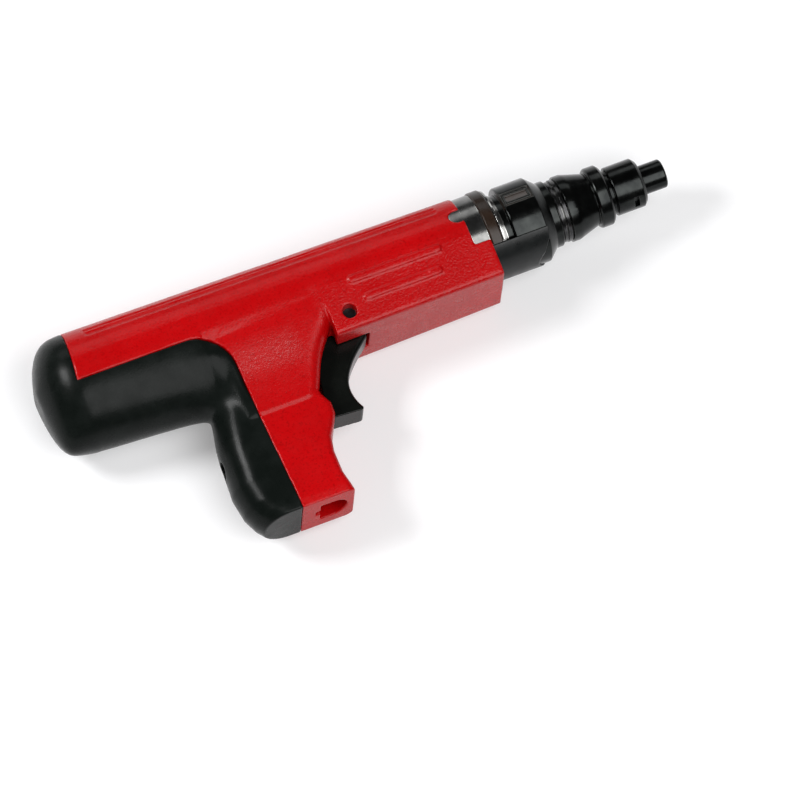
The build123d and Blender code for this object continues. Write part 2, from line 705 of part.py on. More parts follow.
# ---------------------------------------------------------------- front of the housing
def front_bush():
    """The steel bush that closes the housing and guides the barrel, keyed into the tube's edge."""
    bush = turned(
        [
            (BUSH_REAR_X, BARREL_FRONT_R + RUN_FIT),
            (BUSH_REAR_X, CHAMBER_R),
            (TUBE_FRONT_X, CHAMBER_R),
            (TUBE_FRONT_X, BUSH_FLANGE_R),
            (BUFFER_RING_X[0] - SEAT_GAP, BUSH_FLANGE_R),
            (BUFFER_RING_X[0] - SEAT_GAP, BUSH_NOSE_R),
            (BUSH_FRONT_X, BUSH_NOSE_R),
            (BUSH_FRONT_X, BUSH_POCKET_R),
            (BUSH_POCKET_X, BUSH_POCKET_R),
            (BUSH_POCKET_X, BARREL_FRONT_R + RUN_FIT),
        ]
    )
    key_width = KEY_SLOT_WIDTH - 2 * KEY_GAP
    keys = key_slots(key_width, KEY_SLOT_X + KEY_GAP, TUBE_FRONT_X, CHAMBER_R, TUBE_FRONT_R - 0.8)
    return bush + keys - upright_pin(GUIDE_PIN_X, -30.0, -5.0, 3.0)


def guide_pin():
    """The pin in the bush that runs in the barrel's groove and limits its travel."""
    return upright_pin(GUIDE_PIN_X, -20.0, -12.2, 3.0)


def buffer_ring():
    """The brown ring that takes the blow between sleeve and bush, open below for the guard."""
    low, high = BUFFER_RING_X
    ring_form = turned(
        [
            (low, BUSH_NOSE_R),
            (low, BUFFER_RING_R - 0.6),
            (low + 0.6, BUFFER_RING_R),
            (high - 0.6, BUFFER_RING_R),
            (high, BUFFER_RING_R - 0.6),
            (high, BUSH_NOSE_R),
        ]
    )
    return ring_form - lower_sector(RING_GAP_ANGLE)


def buffer_snap_ring():
    """The thin bright clip that keeps the buffer ring on the bush, open below for the guard."""
    clip = ring(SNAP_RING_X[0], SNAP_RING_X[1], SNAP_RING_R, BUSH_NOSE_R)
    return clip - lower_sector(RING_GAP_ANGLE)


def front_guard():
    """The half-round guard under the sleeve, held by a tongue in the box's open front."""
    rear_x = BOX_FRONT_X + SEAT_GAP
    inner_r, outer_r = GUARD_R
    web_front_x = rear_x + 1.4
    web_y = (GUARD_TONGUE_Y[0], -22.6)
    across = (-GUARD_TONGUE_HALF, GUARD_TONGUE_HALF)
    shell = ring(rear_x, GUARD_FRONT_X, outer_r, inner_r) & lower_sector(GUARD_HALF_ANGLE)
    front_curve = [
        (264.5, -24.0),
        (270.5, -21.5),
        (274.0, -17.5),
        (275.2, -10.0),
        (280.0, -10.0),
        (280.0, -24.0),
    ]
    tongue = block((GUARD_TONGUE_X, rear_x), GUARD_TONGUE_Y, across)
    web = block((rear_x, web_front_x), web_y, across) - bar(rear_x, web_front_x, inner_r)
    return shell - plate(front_curve, 30) + tongue + web


def muzzle_spring():
    """The spring round the barrel that pushes it forward off the breech."""
    length = BARREL_STEP_X - CHAMBER_REAR_X - 2 * SEAT_GAP
    spring = coil_spring(length, 15.4, 1.3, 8)
    return Pos(CHAMBER_REAR_X + SEAT_GAP, 0, 0) * Rot(0, 90, 0) * spring


# ---------------------------------------------------------------- barrel group
def barrel():
    """The stepped barrel: cartridge chamber, piston bore and the groove for the guide pin."""
    tube = turned(
        [
            (BARREL_REAR_X, CARTRIDGE_BORE_R),
            (BARREL_REAR_X, BARREL_REAR_R),
            (BARREL_STEP_X, BARREL_REAR_R),
            (BARREL_STEP_X, BARREL_FRONT_R),
            (BARREL_FRONT_X, BARREL_FRONT_R),
            (BARREL_FRONT_X, PISTON_BORE_R),
            (PISTON_BORE_REAR_X, PISTON_BORE_R),
            (PISTON_BORE_REAR_X, CARTRIDGE_BORE_R),
        ]
    )
    pin_room = 3.4
    groove_x = (GUIDE_PIN_X - LOAD_TRAVEL - pin_room, GUIDE_PIN_X + PRESS_TRAVEL + pin_room)
    groove = block(groove_x, (-16.0, -11.9), (-pin_room, pin_room))
    return tube - groove


def thrust_ring():
    """The ring on the barrel that slips into the bush when the muzzle is pressed."""
    return ring(252.6, 254.3, BUSH_POCKET_R - 0.3, BARREL_FRONT_R)


def barrel_sleeve():
    """The large sleeve that is gripped to pull the barrel forward, with framed pads round it."""
    sleeve = turned(
        [
            (SLEEVE_REAR_X, BARREL_FRONT_R),
            (SLEEVE_REAR_X, SLEEVE_REAR_R),
            (SLEEVE_SHOULDER_X, SLEEVE_REAR_R),
            (SLEEVE_SHOULDER_X, SLEEVE_R - 0.6),
            (SLEEVE_SHOULDER_X + 0.6, SLEEVE_R),
            (SLEEVE_CHAMFER_X, SLEEVE_R),
            (SLEEVE_NECK_X, SLEEVE_NECK_R),
            (SLEEVE_FRONT_X - 0.5, SLEEVE_NECK_R),
            (SLEEVE_FRONT_X, SLEEVE_NECK_R - 0.5),
            (SLEEVE_FRONT_X, BARREL_FRONT_R),
        ]
    )
    skin = ring(SLEEVE_SHOULDER_X + 1, SLEEVE_CHAMFER_X, SLEEVE_R + 1, SLEEVE_R - 0.9)
    middle_x = (SLEEVE_SHOULDER_X + SLEEVE_CHAMFER_X) / 2
    frame = Rectangle(15.4, 8.6) - Rectangle(14.0, 7.2) + Rectangle(11.6, 4.6)
    outline = Rot(PAD_ANGLE - 90, 0, 0) * Pos(middle_x, 0, 0) * extrude(frame, 40)
    return sleeve - both_sides(outline & skin)


def lock_rings():
    """Two thin rings that lock the sleeve and the nose on the barrel."""
    rear = ring(284.2, 285.6, 16.2, BARREL_FRONT_R)
    front = ring(286.6, 288.4, 16.6, BARREL_FRONT_R)
    return Compound(children=[rear, front])


def nose_body():
    """The stepped cone in front of the barrel, with the spigot that holds the piston back."""
    bead_low, bead_high = NOSE_BEAD_X
    return turned(
        [
            (NOSE_SPIGOT_X, ROD_GUIDE_R),
            (NOSE_SPIGOT_X, PISTON_BORE_R),
            (NOSE_REAR_X, PISTON_BORE_R),
            (NOSE_REAR_X, SLEEVE_NECK_R),
            (NOSE_RING_FRONT_X, SLEEVE_NECK_R),
            (bead_low, NOSE_CONE_R),
            (bead_low, NOSE_BEAD_R - 1.0),
            (bead_low + 1.0, NOSE_BEAD_R),
            (bead_high - 1.5, NOSE_BEAD_R),
            (bead_high, NOSE_BEAD_R - 1.5),
            (bead_high, NOSE_NECK_R),
            (NOSE_FRONT_X, NOSE_NECK_R),
            (NOSE_FRONT_X, ROD_GUIDE_R),
        ]
    )


def nose_ring():
    """The small ring between the nose and its front sleeve."""
    return ring(NOSE_BEAD_X[1] + SEAT_GAP, 315.0, 11.6, NOSE_NECK_R)


def nose_sleeve():
    """The front sleeve that clamps the nozzle's flange, with a slot for the nozzle key."""
    low, high = NOSE_SLEEVE_X
    sleeve = turned(
        [
            (low, NOSE_NECK_R),
            (low, NOSE_SLEEVE_R - 0.4),
            (low + 0.4, NOSE_SLEEVE_R),
            (high - 1.8, NOSE_SLEEVE_R),
            (high, NOSE_SLEEVE_R - 1.8),
            (high, NOZZLE_SEAT_R),
            (NOZZLE_FLANGE_FRONT_X, NOZZLE_SEAT_R),
            (NOZZLE_FLANGE_FRONT_X, NOSE_NECK_R),
        ]
    )
    return sleeve - nozzle_key_prism(NOSE_SLEEVE_R + 1)


def nozzle_key_prism(reach):
    """The key's slot on the lower right-hand side of the front sleeve, out to the given radius."""
    outline = Rectangle(NOZZLE_KEY_LENGTH, NOZZLE_KEY_WIDTH)
    prism = extrude(outline, reach - NOZZLE_SEAT_R)
    return Pos(NOZZLE_KEY_X, 0, 0) * Rot(NOZZLE_KEY_ANGLE, 0, 0) * Pos(0, 0, NOZZLE_SEAT_R) * prism


def nozzle():
    """The fastener guide at the muzzle."""
    return turned(
        [
            (NOSE_FRONT_X, NOZZLE_BORE_R),
            (NOSE_FRONT_X, NOSE_NECK_R),
            (NOZZLE_FLANGE_FRONT_X, NOSE_NECK_R),
            (NOZZLE_FLANGE_FRONT_X, NOZZLE_SEAT_R),
            (NOSE_SLEEVE_X[1], NOZZLE_SEAT_R),
            (NOSE_SLEEVE_X[1], NOZZLE_R),
            (OVERALL_LENGTH - 0.8, NOZZLE_R),
            (OVERALL_LENGTH, NOZZLE_R - 0.8),
            (OVERALL_LENGTH, NOZZLE_BORE_R),
        ]
    )


def nozzle_key():
    """The key that stops the nozzle from turning in its sleeve."""
    return nozzle_key_prism(NOZZLE_KEY_R) - bar(NOSE_FRONT_X, OVERALL_LENGTH, NOZZLE_SEAT_R)


def piston_buffer():
    """The rubber ring that stops the piston at the end of its stroke."""
    return ring(PISTON_BUFFER_X, NOSE_SPIGOT_X, PISTON_BORE_R, PISTON_ROD_R + 0.5)


def piston():
    """The piston and its long driving rod."""
    low, high = PISTON_X
    body = turned(
        [
            (low, 0),
            (low, PISTON_R),
            (high, PISTON_R),
            (high, PISTON_ROD_R),
            (PISTON_ROD_TIP_X, PISTON_ROD_R),
            (PISTON_ROD_TIP_X, 0),
        ]
    )
    for x in PISTON_RING_X:
        body -= ring(x, x + PISTON_RING_WIDTH, PISTON_R + 1, PISTON_R - PISTON_RING_DEPTH)
    return body


def piston_rings():
    """The two split rings that seal the piston."""
    gap = block((150, 170), (0, 12), (-0.6, 0.6))
    outer_r = PISTON_BORE_R - 0.02
    inner_r = PISTON_R - PISTON_RING_DEPTH
    rings = [ring(x, x + PISTON_RING_WIDTH, outer_r, inner_r) - gap for x in PISTON_RING_X]
    return Compound(children=rings)


# ---------------------------------------------------------------- writing the pieces
PIECES = [
    housing,
    grip_cover,
    grip_screw,
    butt_plug,
    firing_pin,
    firing_pin_spring,
    breech_block,
    breech_ring,
    sear,
    sear_pin,
    sear_spring,
    trigger,
    trigger_pin,
    trigger_spring,
    front_bush,
    guide_pin,
    buffer_ring,
    buffer_snap_ring,
    front_guard,
    muzzle_spring,
    barrel,
    thrust_ring,
    barrel_sleeve,
    lock_rings,
    nose_body,
    nose_ring,
    nose_sleeve,
    nozzle,
    nozzle_key,
    piston_buffer,
    piston,
    piston_rings,
]


def main():
    """Write every piece, laid on the tool's left side over the origin."""
    os.makedirs("parts", exist_ok=True)
    middle_y = (HALF_WIDTH + HANDLE_BOTTOM_Y) / 2
    resting_place = Pos(-OVERALL_LENGTH / 2, -middle_y, HALF_WIDTH)
    for make_piece in PIECES:
        export_step(resting_place * make_piece(), f"parts/{make_piece.__name__}.step")


main()
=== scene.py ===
import json
import math

import bmesh
import bpy
import numpy as np
from mathutils import Matrix, Vector


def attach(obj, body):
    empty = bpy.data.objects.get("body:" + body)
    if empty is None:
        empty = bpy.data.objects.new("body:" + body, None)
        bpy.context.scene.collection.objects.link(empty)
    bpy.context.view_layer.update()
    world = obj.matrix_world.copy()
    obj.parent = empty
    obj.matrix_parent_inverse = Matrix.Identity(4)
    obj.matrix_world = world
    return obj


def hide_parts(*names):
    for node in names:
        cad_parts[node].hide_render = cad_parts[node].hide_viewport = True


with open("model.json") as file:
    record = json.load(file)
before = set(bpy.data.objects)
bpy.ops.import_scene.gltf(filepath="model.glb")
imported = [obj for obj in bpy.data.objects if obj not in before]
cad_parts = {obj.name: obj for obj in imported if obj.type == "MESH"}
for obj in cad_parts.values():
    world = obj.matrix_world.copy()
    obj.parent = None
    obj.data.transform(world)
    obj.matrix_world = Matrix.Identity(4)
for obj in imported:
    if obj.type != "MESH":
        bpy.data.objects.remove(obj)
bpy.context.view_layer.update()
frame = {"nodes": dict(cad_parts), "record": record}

# The looks of a powder-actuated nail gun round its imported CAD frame. Metres. The tool lies on its
# left side: +X to the muzzle, +Y to the tool's own top, +Z up.

# ---------------------------------------------------------------- sizes
CAST_VOXEL = 0.00055            # of the remeshed castings
TRIGGER_VOXEL = 0.0003
MAX_TRIANGLES = 190_000         # of any one piece
WELD_DISTANCE = 0.000002
MACHINED_EDGE = 0.00035         # width of the small chamfers on turned pieces
FINE_EDGE = 0.0002
SHARP_ANGLE = math.radians(28)
WEAR_REACH = 0.0005             # how far the rubbed edges of turned steel reach
EDGE_COSINES = (0.995, 0.93)    # of the turn from a face to its rounded edge: none, and a full edge

# ---------------------------------------------------------------- camera
CAMERA_RIGHT = Vector((0.9225, -0.3837, 0.0431)).normalized()
CAMERA_BACK = Vector((-0.1823, -0.3345, 0.9246)).normalized()
CAMERA_AIM = Vector((0.0034, -0.0188, 0.0077))
CAMERA_DISTANCE = 8.0
VIEW_WIDTH = 0.4067             # that the camera sees at the aim
SENSOR_WIDTH = 36.0             # millimetres

# ---------------------------------------------------------------- light
# name: direction, distance, size, power
SOFT_BOXES = {
    "key": (Vector((0.17, -0.49, 0.855)), 1.3, (1.0, 1.05), 15.0),
    "side": (Vector((-0.62, 0.32, 0.72)), 1.5, (0.45, 0.45), 16.0),
    "fill": (Vector((0.10, 0.85, 0.50)), 1.8, (2.0, 0.6), 6.5),
}
WORLD_STRENGTH = 0.10
FLOOR_HALF = 3.0

# the barrel's axis at the rear of the butt
AXIS_IN_FRAME = Vector((-0.1725, 0.0401, 0.0283))

BODY_OF = {
    node: body
    for body, nodes in frame["record"]["behaviour"]["bodies"].items()
    for node in nodes
}
SLOT_OF = {part["node"]: part["material_slot"] for part in frame["record"]["subparts"]}


def place(x, y, z):
    """A point of the tool: x from the butt, y and z from the barrel's axis, in millimetres."""
    return AXIS_IN_FRAME + Vector((x, y, z)) / 1000


# ---------------------------------------------------------------- places on the tool
RIGHT_AND_LEFT = (1, -1)

# creases between the butt and the handle to fill: centre, and radii along X and Y
HOLLOWS = {
    "grip_cover": [(place(86.0, -27.0, 18.0 * side), (0.013, 0.015)) for side in RIGHT_AND_LEFT],
}
HOLLOW_LEAST_HEIGHT = 0.006     # of the outer side above the tool's middle
HOLLOW_MOST_LIFT = 0.012
HOLLOW_FACING = 0.3             # a wall of the hollow faces up less than this, and its surroundings more
HOLLOW_RIM = 1.4                # outer limit of the surroundings, in radii
HOLLOW_END = 1.2                # where the lift ends, in radii
HOLLOW_STEP = 0.5

# places to smooth: centre, radii and rounds of smoothing
SOFT_SPOTS = {
    "grip_cover": [
        *((place(85.0, -29.0, 20.0 * side), (0.019, 0.026, 0.018), 120) for side in RIGHT_AND_LEFT),
        (place(76.0, -38.0, 0.0), (0.018, 0.016, 0.030), 200),
        (place(4.0, -2.0, 0.0), (0.022, 0.044, 0.040), 60),
    ],
    "housing": [
        *((place(124.0, -26.0, 26.0 * side), (0.025, 0.024, 0.016), 120) for side in RIGHT_AND_LEFT),
    ],
}
SMOOTH_FACTOR = 0.5

# castings and mouldings: voxel and rounds of smoothing
CAST = {
    "housing": (CAST_VOXEL, 5),
    "grip_cover": (CAST_VOXEL, 8),
    "trigger": (TRIGGER_VOXEL, 6),
}
# machined pieces: width of their chamfers
MACHINED = {
    "front_bush": MACHINED_EDGE,
    "barrel": MACHINED_EDGE,
    "barrel_sleeve": MACHINED_EDGE,
    "lock_rings": FINE_EDGE,
    "nose_body": MACHINED_EDGE,
    "nose_ring": FINE_EDGE,
    "nose_sleeve": MACHINED_EDGE,
    "nozzle": MACHINED_EDGE,
    "nozzle_key": FINE_EDGE,
    "buffer_ring": FINE_EDGE,
    "buffer_snap_ring": FINE_EDGE,
    "front_guard": MACHINED_EDGE,
    "trigger_pin": FINE_EDGE,
    "grip_screw": FINE_EDGE,
}

# painted boxes: centre and half sizes
GRAINY_BOX = (place(195.0, -18.0, 0.0), (0.047, 0.017, 0.060))
SHINY_SHOULDER = (place(114.0, -26.0, 0.0), (0.013, 0.004, 0.060))
SHOULDER_FADE = 0.008
SLEEVE_PADS = (place(265.85, 8.4, 0.0), (0.0083, 0.0056, 0.040))
PAD_FADE = 0.0003
PAD_DUST_RADII = (0.0223, 0.0219)       # from the barrel's axis: where the dust begins, and where it is full
# how far the painted highlight on the pads' frame edges reaches from an edge
PAD_FRAME_REACH = 0.0006

# ---------------------------------------------------------------- finishes
BLACK_OXIDE = ((0.013, 0.014, 0.014), (0.027, 0.029, 0.028), 0.19)      # dark, light and roughness
RUBBED_GAIN = 3.5               # how much lighter a rubbed steel edge is
RUBBED_MOST = 0.6
POLISHED_GAIN = 1.7             # the same for polished patches of a black finish
ENAMEL_COAT = 0.08              # weight of the gloss coat on the plain enamel
GRAINY_COAT = 0.16              # more of it on the trigger box
SHOULDER_COAT = 0.80            # and on the shoulder


# ---------------------------------------------------------------- node helpers
class Shader:
    """A material's node tree, with the object's own coordinates to paint by."""

    def __init__(self, name):
        self.material = bpy.data.materials.new(name)
        self.material.use_nodes = True
        self.tree = self.material.node_tree
        self.surface = self.tree.nodes["Principled BSDF"]
        self.place = self.tree.nodes.new("ShaderNodeTexCoord").outputs["Object"]

    def link(self, source, target):
        self.tree.links.new(source, target)

    def set(self, **values):
        """Constants on the surface's own sockets; underscores stand for spaces."""
        for key, value in values.items():
            self.input(key.replace("_", " ")).default_value = value

    def stretched(self, scale):
        """The coordinates, stretched by scale along each axis."""
        node = self.tree.nodes.new("ShaderNodeMapping")
        node.inputs["Scale"].default_value = scale
        self.link(self.place, node.inputs["Vector"])
        return node.outputs["Vector"]

    def noise(self, scale, detail=3.0, roughness=0.55, stretch=None):
        """Noise with about scale features to the metre."""
        node = self.tree.nodes.new("ShaderNodeTexNoise")
        node.inputs["Scale"].default_value = scale
        node.inputs["Detail"].default_value = detail
        node.inputs["Roughness"].default_value = roughness
        self.link(self.stretched(stretch) if stretch else self.place, node.inputs["Vector"])
        return node.outputs["Fac"]

    def cells(self, scale):
        """Distance to the nearest of many small cell centres."""
        node = self.tree.nodes.new("ShaderNodeTexVoronoi")
        node.inputs["Scale"].default_value = scale
        self.link(self.place, node.inputs["Vector"])
        return node.outputs["Distance"]

    def ramp(self, value, low, high, out_low=0.0, out_high=1.0):
        """value from low to high becomes out_low to out_high, and no more beyond."""
        node = self.tree.nodes.new("ShaderNodeMapRange")
        node.inputs["From Min"].default_value = low
        node.inputs["From Max"].default_value = high
        node.inputs["To Min"].default_value = out_low
        node.inputs["To Max"].default_value = out_high
        self.link(value, node.inputs["Value"])
        return node.outputs["Result"]

    def math(self, operation, first, second):
        """A sum, product and so on of two values, or of a value and a number."""
        node = self.tree.nodes.new("ShaderNodeMath")
        node.operation = operation
        for socket, value in zip(node.inputs, (first, second)):
            if isinstance(value, (int, float)):
                socket.default_value = value
            else:
                self.link(value, socket)
        return node.outputs["Value"]

    def blend(self, factor, first, second):
        """A colour between first and second."""
        node = self.tree.nodes.new("ShaderNodeMix")
        node.data_type = "RGBA"
        sockets = [socket for socket in node.inputs if socket.type == "RGBA"]
        for socket, value in zip(sockets, (first, second)):
            if isinstance(value, tuple):
                socket.default_value = (*value, 1.0)
            else:
                self.link(value, socket)
        self.link(factor, node.inputs["Factor"])
        return next(socket for socket in node.outputs if socket.type == "RGBA")

    def outward_edges(self, low=0.52, high=0.60):
        """1 on outward edges of a finely meshed piece, 0 on its faces."""
        node = self.tree.nodes.new("ShaderNodeNewGeometry")
        return self.ramp(node.outputs["Pointiness"], low, high)

    def vector_math(self, operation, first, second=(0.0, 0.0, 0.0)):
        """The results of a sum, product and so on of two vectors, or of a vector and a constant."""
        node = self.tree.nodes.new("ShaderNodeVectorMath")
        node.operation = operation
        for socket, value in zip(node.inputs, (first, second)):
            if isinstance(value, bpy.types.NodeSocket):
                self.link(value, socket)
            else:
                socket.default_value = value
        return node.outputs

    def within(self, centre, half_sizes, fade=0.0025):
        """1 in the box of half_sizes round centre, and 0 from fade outside it."""
        parts = self.tree.nodes.new("ShaderNodeSeparateXYZ")
        self.link(self.vector_math("SUBTRACT", self.place, centre)["Vector"], parts.inputs["Vector"])
        inside = 1.0
        for part, half in zip(parts.outputs, half_sizes):
            near = self.ramp(self.math("ABSOLUTE", part, 0.0), half + fade, half)
            inside = self.math("MULTIPLY", near, inside)
        return inside

    def from_axis(self):
        """The distance from the barrel's axis."""
        offset = self.vector_math("SUBTRACT", self.place, AXIS_IN_FRAME)["Vector"]
        across = self.vector_math("MULTIPLY", offset, (0.0, 1.0, 1.0))["Vector"]
        return self.vector_math("LENGTH", across)["Value"]

    def near_edge(self, reach):
        """1 within reach of a sharp edge, 0 elsewhere."""
        rounded = self.tree.nodes.new("ShaderNodeBevel")
        rounded.inputs["Radius"].default_value = reach
        plain = self.tree.nodes.new("ShaderNodeNewGeometry")
        cosine = self.vector_math("DOT_PRODUCT", rounded.outputs["Normal"], plain.outputs["Normal"])["Value"]
        return self.ramp(cosine, *EDGE_COSINES)

    def bump(self, height, depth, strength=1.0, under=None):
        """A bumped normal; depth is in metres."""
        node = self.tree.nodes.new("ShaderNodeBump")
        node.inputs["Strength"].default_value = strength
        node.inputs["Distance"].default_value = depth
        self.link(height, node.inputs["Height"])
        if under is not None:
            self.link(under, node.inputs["Normal"])
        return node.outputs["Normal"]

    def input(self, name):
        """The surface's own socket of that name."""
        return self.surface.inputs[name]

    def color(self, value):
        self.link(value, self.input("Base Color"))

    def roughness(self, value):
        self.link(value, self.input("Roughness"))

    def normal(self, value):
        self.link(value, self.input("Normal"))


# ---------------------------------------------------------------- materials
def material_for(node, materials):
    """The node's own material if it has one, or else its slot's."""
    return materials.get(node) or materials[SLOT_OF[node]]


def red_casting():
    """Gloss enamel over a cast surface: the grain of the casting shows through the paint, and the outward
    edges carry a painted highlight.
    """
    shader = Shader("red_enamel_on_casting")
    patches = shader.ramp(shader.noise(28.0, 4.0), 0.35, 0.65)
    grain = shader.noise(950.0, 2.0, 0.5)
    lumps = shader.noise(330.0, 2.0, 0.5)
    red = shader.blend(patches, (0.37, 0.0009, 0.0018), (0.42, 0.0012, 0.0024))
    sunk = shader.ramp(grain, 0.30, 0.48)
    red = shader.blend(sunk, (0.30, 0.0007, 0.0014), red)
    # Painted highlight: the outward edges are lightened to a pale pink, in patches set by a noise.
    edge = shader.math("MULTIPLY", shader.outward_edges(), shader.ramp(shader.noise(240.0, 4.0), 0.45, 0.62))
    red = shader.blend(edge, red, (0.72, 0.10, 0.11))
    shader.color(red)
    shader.roughness(shader.ramp(shader.noise(160.0, 4.0), 0.3, 0.7, 0.22, 0.36))
    coarse = shader.within(*GRAINY_BOX)
    shoulder = shader.within(*SHINY_SHOULDER, fade=SHOULDER_FADE)
    box_coat = shader.math("MULTIPLY", coarse, GRAINY_COAT)
    shoulder_coat = shader.math("MULTIPLY", shoulder, SHOULDER_COAT)
    more_coat = shader.math("ADD", box_coat, shoulder_coat)
    shader.link(shader.math("ADD", ENAMEL_COAT, more_coat), shader.input("Coat Weight"))
    shader.set(Specular_IOR_Level=0.10, Coat_Roughness=0.22)
    lumpy = shader.bump(lumps, 0.00022, 0.4)
    rough_grain = shader.math("MULTIPLY", grain, shader.ramp(coarse, 0.0, 1.0, 0.45, 1.3))
    grained = shader.bump(rough_grain, 0.00022, 0.85, lumpy)
    shader.normal(grained)
    shader.link(grained, shader.input("Coat Normal"))
    return shader.material


def black_rubber():
    """Satin moulded rubber with a fine matte grain and a little dust in it."""
    shader = Shader("moulded_rubber")
    dust = shader.ramp(shader.noise(60.0, 5.0, 0.6), 0.48, 0.75)
    black = shader.blend(dust, (0.0035, 0.0050, 0.0042), (0.0070, 0.0090, 0.0080))
    edge = shader.outward_edges(0.53, 0.62)
    black = shader.blend(edge, black, (0.012, 0.014, 0.013))
    shader.color(black)
    shader.roughness(shader.ramp(shader.noise(130.0, 4.0), 0.3, 0.7, 0.23, 0.33))
    shader.set(Specular_IOR_Level=0.09)
    pebbles = shader.cells(1500.0)
    shader.normal(shader.bump(pebbles, 0.00006, 0.35))
    return shader.material


def turned_shader(name, dark, light, roughness, rings=0.35):
    """Steel turned on a lathe: fine rings round the barrel's axis, stains and rubbed edges."""
    shader = Shader(name)
    stains = shader.ramp(shader.noise(90.0, 5.0, 0.6), 0.38, 0.68)
    rings_height = shader.noise(1.0, 3.0, 0.6, stretch=(5200.0, 40.0, 40.0))
    color = shader.blend(stains, dark, light)
    patchy = shader.ramp(shader.noise(320.0), 0.40, 0.60)
    rubbed = shader.math("MULTIPLY", shader.near_edge(WEAR_REACH), patchy)
    bright = tuple(min(RUBBED_MOST, RUBBED_GAIN * channel) for channel in light)
    color = shader.blend(rubbed, color, bright)
    spread = shader.ramp(shader.noise(210.0, 5.0, 0.65), 0.3, 0.7, roughness * 0.8, roughness * 1.3)
    shader.roughness(spread)
    shader.set(Metallic=1.0)
    shader.normal(shader.bump(rings_height, 0.00002, rings))
    return shader, color


def turned_steel(name, dark, light, roughness, rings=0.35):
    """A plain piece of turned steel."""
    shader, color = turned_shader(name, dark, light, roughness, rings)
    shader.color(color)
    return shader.material


def sleeve_steel():
    """The big sleeve's steel, with brown dust in the grooves of its two framed pads and a painted highlight
    on their frames.
    """
    shader, color = turned_shader("sleeve_steel", *BLACK_OXIDE)
    pads = shader.within(*SLEEVE_PADS, fade=PAD_FADE)
    dust = shader.math("MULTIPLY", pads, shader.ramp(shader.from_axis(), *PAD_DUST_RADII))
    # Painted highlight: the edges of the pads' frames are lightened to grey and made not metallic, so that
    # they show as lit lines.
    frame_highlight = shader.math("MULTIPLY", pads, shader.near_edge(PAD_FRAME_REACH))
    color = shader.blend(dust, color, (0.020, 0.011, 0.007))
    shader.color(shader.blend(frame_highlight, color, (0.075, 0.075, 0.070)))
    bare = shader.math("SUBTRACT", 1.0, shader.math("MAXIMUM", dust, frame_highlight))
    shader.link(bare, shader.input("Metallic"))
    return shader.material


def drawn_wire():
    """Oiled spring wire with faint draw marks."""
    return turned_steel("drawn_wire", (0.20, 0.20, 0.21), (0.34, 0.34, 0.35), 0.28, rings=0.15)


def satin_black(name, base, roughness, shine=0.25, grain=1400.0, depth=0.00004):
    """A smooth black finish with a fine grain and slightly polished patches."""
    shader = Shader(name)
    rubbed = shader.ramp(shader.noise(75.0, 4.0, 0.6), 0.42, 0.68)
    lighter = tuple(POLISHED_GAIN * channel for channel in base)
    shader.color(shader.blend(rubbed, base, lighter))
    shader.roughness(shader.ramp(shader.noise(170.0, 4.0), 0.3, 0.7, roughness * 0.8, roughness * 1.25))
    shader.set(Specular_IOR_Level=shine)
    shader.normal(shader.bump(shader.noise(grain, 2.0), depth, 0.3))
    return shader.material


def make_materials():
    """One material for each material slot of the record, and one for the sleeve with the pads."""
    return {
        "red_casting": red_casting(),
        "black_rubber": black_rubber(),
        "dark_screw": turned_steel("blackened_screw", (0.03, 0.03, 0.032), (0.07, 0.07, 0.072), 0.34),
        "bright_steel": turned_steel("machined_steel", (0.42, 0.42, 0.43), (0.56, 0.56, 0.57), 0.24),
        "spring_steel": drawn_wire(),
        "trigger_black": satin_black("black_enamel", (0.0025, 0.003, 0.0025), 0.22, shine=0.14),
        "pin_black": turned_steel("black_pin", (0.02, 0.02, 0.022), (0.05, 0.05, 0.052), 0.3),
        "black_oxide_steel": turned_steel("black_oxide", *BLACK_OXIDE),
        "barrel_sleeve": sleeve_steel(),
        "barrel_steel": turned_steel("ground_barrel", (0.09, 0.09, 0.088), (0.17, 0.17, 0.165), 0.20),
        "brown_buffer": satin_black("brown_buffer", (0.014, 0.008, 0.005), 0.28),
        "chrome_ring": turned_steel("bright_clip", (0.22, 0.22, 0.21), (0.40, 0.40, 0.39), 0.15),
        "ring_steel": turned_steel("dark_ring", (0.03, 0.03, 0.031), (0.06, 0.06, 0.061), 0.20),
        "guard_black": satin_black("guard_black", (0.005, 0.006, 0.006), 0.32),
        "buffer_rubber": satin_black("buffer_rubber", (0.020, 0.020, 0.020), 0.55),
    }


# ---------------------------------------------------------------- pieces
def copy_of(node):
    """A new object with the CAD node's shape, its split vertices joined again."""
    mesh = bpy.data.meshes.new(node + "_skin")
    form = bmesh.new()
    form.from_mesh(frame["nodes"][node].data)
    bmesh.ops.remove_doubles(form, verts=form.verts, dist=WELD_DISTANCE)
    form.to_mesh(mesh)
    form.free()
    piece = bpy.data.objects.new(node + "_skin", mesh)
    bpy.context.scene.collection.objects.link(piece)
    return piece


def settle(piece):
    """Applies the piece's modifiers to its mesh and shades it smooth."""
    shown = piece.evaluated_get(bpy.context.evaluated_depsgraph_get())
    mesh = bpy.data.meshes.new_from_object(shown)
    piece.modifiers.clear()
    piece.data = mesh
    mesh.shade_smooth()


def stand_for(piece, node, material):
    """The piece takes the CAD node's place, on its body and in its slot."""
    piece.data.materials.clear()
    piece.data.materials.append(material)
    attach(piece, BODY_OF[node])
    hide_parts(node)


def smooth(piece, rounds, group=""):
    """Smooths the vertex group, or the whole piece if no group is named."""
    soft = piece.modifiers.new("soft", "SMOOTH")
    soft.factor = SMOOTH_FACTOR
    soft.iterations = rounds
    soft.vertex_group = group
    settle(piece)


